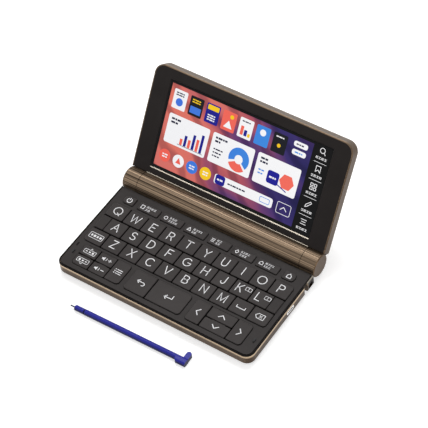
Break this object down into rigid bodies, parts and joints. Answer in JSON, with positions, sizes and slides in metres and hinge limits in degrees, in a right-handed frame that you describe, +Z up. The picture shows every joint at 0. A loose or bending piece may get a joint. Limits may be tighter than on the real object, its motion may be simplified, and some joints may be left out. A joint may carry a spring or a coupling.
{
  "type": "electronic dictionary",
  "caption": "Folding electronic dictionary: letter keyboard base, barrel hinge that holds the batteries, lid with a wide touch screen, and a loose stylus with its storage bore.",
  "frame": {"origin": "on the table, below the middle of the whole (lid open, stylus in front)", "axes": "+X to the user's right along the hinge, +Y to the rear, +Z up; lid open as in the picture"},
  "size_m": [0.148, 0.1542, 0.0777],
  "materials": {
    "bronze_metal": "hairline anodised bronze brown",
    "charcoal_plastic": "fine matt charcoal",
    "bezel_black": "smooth satin black",
    "key_plastic": "matt dark grey with white printed legends",
    "display": "touch film over a lit screen",
    "silicone": "black silicone",
    "pad_rubber": "matt black rubber",
    "circuit_board": "solder mask green",
    "cell": "bare metal cell sleeve",
    "spring_metal": "nickel plated",
    "screw_steel": "dark zinc",
    "stylus_plastic": "satin deep blue"
  },
  "bodies": {
    "base": {"bottom_case": "bronze_metal", "battery_cells": "cell", "battery_contacts": "spring_metal", "main_board": "circuit_board", "key_mat": "silicone", "keyboard_deck": "charcoal_plastic", "stylus_silo": "charcoal_plastic", "case_screws": "screw_steel", "rubber_pads": "pad_rubber"},
    "lid": {"lid_shell": "bronze_metal", "lid_bezel": "bezel_black", "display_panel": "display", "hinge_pins": "screw_steel"},
    "battery_cover": {"battery_cover": "bronze_metal"},
    "stylus": {"stylus": "stylus_plastic"},
    "key_power": {"key_power": "key_plastic"},
    "key_f1": {"key_f1": "key_plastic"},
    "key_f2": {"key_f2": "key_plastic"},
    "key_f3": {"key_f3": "key_plastic"},
    "key_f4": {"key_f4": "key_plastic"},
    "key_f5": {"key_f5": "key_plastic"},
    "key_f6": {"key_f6": "key_plastic"},
    "key_home": {"key_home": "key_plastic"},
    "key_q": {"key_q": "key_plastic"},
    "key_w": {"key_w": "key_plastic"},
    "key_e": {"key_e": "key_plastic"},
    "key_r": {"key_r": "key_plastic"},
    "key_t": {"key_t": "key_plastic"},
    "key_y": {"key_y": "key_plastic"},
    "key_u": {"key_u": "key_plastic"},
    "key_i": {"key_i": "key_plastic"},
    "key_o": {"key_o": "key_plastic"},
    "key_p": {"key_p": "key_plastic"},
    "key_a": {"key_a": "key_plastic"},
    "key_s": {"key_s": "key_plastic"},
    "key_d": {"key_d": "key_plastic"},
    "key_f": {"key_f": "key_plastic"},
    "key_g": {"key_g": "key_plastic"},
    "key_h": {"key_h": "key_plastic"},
    "key_j": {"key_j": "key_plastic"},
    "key_k": {"key_k": "key_plastic"},
    "key_l": {"key_l": "key_plastic"},
    "key_mode": {"key_mode": "key_plastic"},
    "key_z": {"key_z": "key_plastic"},
    "key_x": {"key_x": "key_plastic"},
    "key_c": {"key_c": "key_plastic"},
    "key_v": {"key_v": "key_plastic"},
    "key_b": {"key_b": "key_plastic"},
    "key_n": {"key_n": "key_plastic"},
    "key_m": {"key_m": "key_plastic"},
    "key_space": {"key_space": "key_plastic"},
    "key_delete": {"key_delete": "key_plastic"},
    "key_size": {"key_size": "key_plastic"},
    "key_volume": {"key_volume": "key_plastic"},
    "key_list": {"key_list": "key_plastic"},
    "key_back": {"key_back": "key_plastic"},
    "key_enter": {"key_enter": "key_plastic"},
    "key_left": {"key_left": "key_plastic"},
    "key_updown": {"key_updown": "key_plastic"},
    "key_right": {"key_right": "key_plastic"}
  },
  "joints": [
    {"name": "lid_hinge", "type": "hinge", "parent": "base", "child": "lid", "pos_m": [0, 0.02505, 0.0098], "axis": [-1, 0, 0], "range_deg": [-123.5, 31.5]},
    {"name": "battery_cover_release", "type": "slide", "parent": "base", "child": "battery_cover", "axis": [0, 0, -1], "range_m": [0, 0.012]},
    {"name": "stylus_lift", "type": "slide", "parent": "base", "child": "stylus", "axis": [0, 0, 1], "range_m": [0, 0.02]},
    {"name": "key_power_press", "type": "slide", "parent": "base", "child": "key_power", "axis": [0, 0, -1], "range_m": [0, 0.0007], "stiffness_N_per_m": 800},
    {"name": "key_f1_press", "type": "slide", "parent": "base", "child": "key_f1", "axis": [0, 0, -1], "range_m": [0, 0.0007], "stiffness_N_per_m": 800},
    {"name": "key_f2_press", "type": "slide", "parent": "base", "child": "key_f2", "axis": [0, 0, -1], "range_m": [0, 0.0007], "stiffness_N_per_m": 800},
    {"name": "key_f3_press", "type": "slide", "parent": "base", "child": "key_f3", "axis": [0, 0, -1], "range_m": [0, 0.0007], "stiffness_N_per_m": 800},
    {"name": "key_f4_press", "type": "slide", "parent": "base", "child": "key_f4", "axis": [0, 0, -1], "range_m": [0, 0.0007], "stiffness_N_per_m": 800},
    {"name": "key_f5_press", "type": "slide", "parent": "base", "child": "key_f5", "axis": [0, 0, -1], "range_m": [0, 0.0007], "stiffness_N_per_m": 800},
    {"name": "key_f6_press", "type": "slide", "parent": "base", "child": "key_f6", "axis": [0, 0, -1], "range_m": [0, 0.0007], "stiffness_N_per_m": 800},
    {"name": "key_home_press", "type": "slide", "parent": "base", "child": "key_home", "axis": [0, 0, -1], "range_m": [0, 0.0007], "stiffness_N_per_m": 800},
    {"name": "key_q_press", "type": "slide", "parent": "base", "child": "key_q", "axis": [0, 0, -1], "range_m": [0, 0.0007], "stiffness_N_per_m": 800},
    {"name": "key_w_press", "type": "slide", "parent": "base", "child": "key_w", "axis": [0, 0, -1], "range_m": [0, 0.0007], "stiffness_N_per_m": 800},
    {"name": "key_e_press", "type": "slide", "parent": "base", "child": "key_e", "axis": [0, 0, -1], "range_m": [0, 0.0007], "stiffness_N_per_m": 800},
    {"name": "key_r_press", "type": "slide", "parent": "base", "child": "key_r", "axis": [0, 0, -1], "range_m": [0, 0.0007], "stiffness_N_per_m": 800},
    {"name": "key_t_press", "type": "slide", "parent": "base", "child": "key_t", "axis": [0, 0, -1], "range_m": [0, 0.0007], "stiffness_N_per_m": 800},
    {"name": "key_y_press", "type": "slide", "parent": "base", "child": "key_y", "axis": [0, 0, -1], "range_m": [0, 0.0007], "stiffness_N_per_m": 800},
    {"name": "key_u_press", "type": "slide", "parent": "base", "child": "key_u", "axis": [0, 0, -1], "range_m": [0, 0.0007], "stiffness_N_per_m": 800},
    {"name": "key_i_press", "type": "slide", "parent": "base", "child": "key_i", "axis": [0, 0, -1], "range_m": [0, 0.0007], "stiffness_N_per_m": 800},
    {"name": "key_o_press", "type": "slide", "parent": "base", "child": "key_o", "axis": [0, 0, -1], "range_m": [0, 0.0007], "stiffness_N_per_m": 800},
    {"name": "key_p_press", "type": "slide", "parent": "base", "child": "key_p", "axis": [0, 0, -1], "range_m": [0, 0.0007], "stiffness_N_per_m": 800},
    {"name": "key_a_press", "type": "slide", "parent": "base", "child": "key_a", "axis": [0, 0, -1], "range_m": [0, 0.0007], "stiffness_N_per_m": 800},
    {"name": "key_s_press", "type": "slide", "parent": "base", "child": "key_s", "axis": [0, 0, -1], "range_m": [0, 0.0007], "stiffness_N_per_m": 800},
    {"name": "key_d_press", "type": "slide", "parent": "base", "child": "key_d", "axis": [0, 0, -1], "range_m": [0, 0.0007], "stiffness_N_per_m": 800},
    {"name": "key_f_press", "type": "slide", "parent": "base", "child": "key_f", "axis": [0, 0, -1], "range_m": [0, 0.0007], "stiffness_N_per_m": 800},
    {"name": "key_g_press", "type": "slide", "parent": "base", "child": "key_g", "axis": [0, 0, -1], "range_m": [0, 0.0007], "stiffness_N_per_m": 800},
    {"name": "key_h_press", "type": "slide", "parent": "base", "child": "key_h", "axis": [0, 0, -1], "range_m": [0, 0.0007], "stiffness_N_per_m": 800},
    {"name": "key_j_press", "type": "slide", "parent": "base", "child": "key_j", "axis": [0, 0, -1], "range_m": [0, 0.0007], "stiffness_N_per_m": 800},
    {"name": "key_k_press", "type": "slide", "parent": "base", "child": "key_k", "axis": [0, 0, -1], "range_m": [0, 0.0007], "stiffness_N_per_m": 800},
    {"name": "key_l_press", "type": "slide", "parent": "base", "child": "key_l", "axis": [0, 0, -1], "range_m": [0, 0.0007], "stiffness_N_per_m": 800},
    {"name": "key_mode_press", "type": "slide", "parent": "base", "child": "key_mode", "axis": [0, 0, -1], "range_m": [0, 0.0007], "stiffness_N_per_m": 800},
    {"name": "key_z_press", "type": "slide", "parent": "base", "child": "key_z", "axis": [0, 0, -1], "range_m": [0, 0.0007], "stiffness_N_per_m": 800},
    {"name": "key_x_press", "type": "slide", "parent": "base", "child": "key_x", "axis": [0, 0, -1], "range_m": [0, 0.0007], "stiffness_N_per_m": 800},
    {"name": "key_c_press", "type": "slide", "parent": "base", "child": "key_c", "axis": [0, 0, -1], "range_m": [0, 0.0007], "stiffness_N_per_m": 800},
    {"name": "key_v_press", "type": "slide", "parent": "base", "child": "key_v", "axis": [0, 0, -1], "range_m": [0, 0.0007], "stiffness_N_per_m": 800},
    {"name": "key_b_press", "type": "slide", "parent": "base", "child": "key_b", "axis": [0, 0, -1], "range_m": [0, 0.0007], "stiffness_N_per_m": 800},
    {"name": "key_n_press", "type": "slide", "parent": "base", "child": "key_n", "axis": [0, 0, -1], "range_m": [0, 0.0007], "stiffness_N_per_m": 800},
    {"name": "key_m_press", "type": "slide", "parent": "base", "child": "key_m", "axis": [0, 0, -1], "range_m": [0, 0.0007], "stiffness_N_per_m": 800},
    {"name": "key_space_press", "type": "slide", "parent": "base", "child": "key_space", "axis": [0, 0, -1], "range_m": [0, 0.0007], "stiffness_N_per_m": 800},
    {"name": "key_delete_press", "type": "slide", "parent": "base", "child": "key_delete", "axis": [0, 0, -1], "range_m": [0, 0.0007], "stiffness_N_per_m": 800},
    {"name": "key_size_rock", "type": "hinge", "parent": "base", "child": "key_size", "pos_m": [-0.0588, -0.04301, 0.0083], "axis": [1, 0, 0], "range_deg": [-2.5, 2.5], "stiffness_Nm_per_rad": 0.09},
    {"name": "key_volume_rock", "type": "hinge", "parent": "base", "child": "key_volume", "pos_m": [-0.04587, -0.04301, 0.0083], "axis": [1, 0, 0], "range_deg": [-2.5, 2.5], "stiffness_Nm_per_rad": 0.09},
    {"name": "key_list_press", "type": "slide", "parent": "base", "child": "key_list", "axis": [0, 0, -1], "range_m": [0, 0.0007], "stiffness_N_per_m": 800},
    {"name": "key_back_press", "type": "slide", "parent": "base", "child": "key_back", "axis": [0, 0, -1], "range_m": [0, 0.0007], "stiffness_N_per_m": 800},
    {"name": "key_enter_press", "type": "slide", "parent": "base", "child": "key_enter", "axis": [0, 0, -1], "range_m": [0, 0.0007], "stiffness_N_per_m": 800},
    {"name": "key_left_press", "type": "slide", "parent": "base", "child": "key_left", "axis": [0, 0, -1], "range_m": [0, 0.0007], "stiffness_N_per_m": 800},
    {"name": "key_updown_rock", "type": "hinge", "parent": "base", "child": "key_updown", "pos_m": [0.04272, -0.04301, 0.0083], "axis": [1, 0, 0], "range_deg": [-2.5, 2.5], "stiffness_Nm_per_rad": 0.09},
    {"name": "key_right_press", "type": "slide", "parent": "base", "child": "key_right", "axis": [0, 0, -1], "range_m": [0, 0.0007], "stiffness_N_per_m": 800}
  ]
}
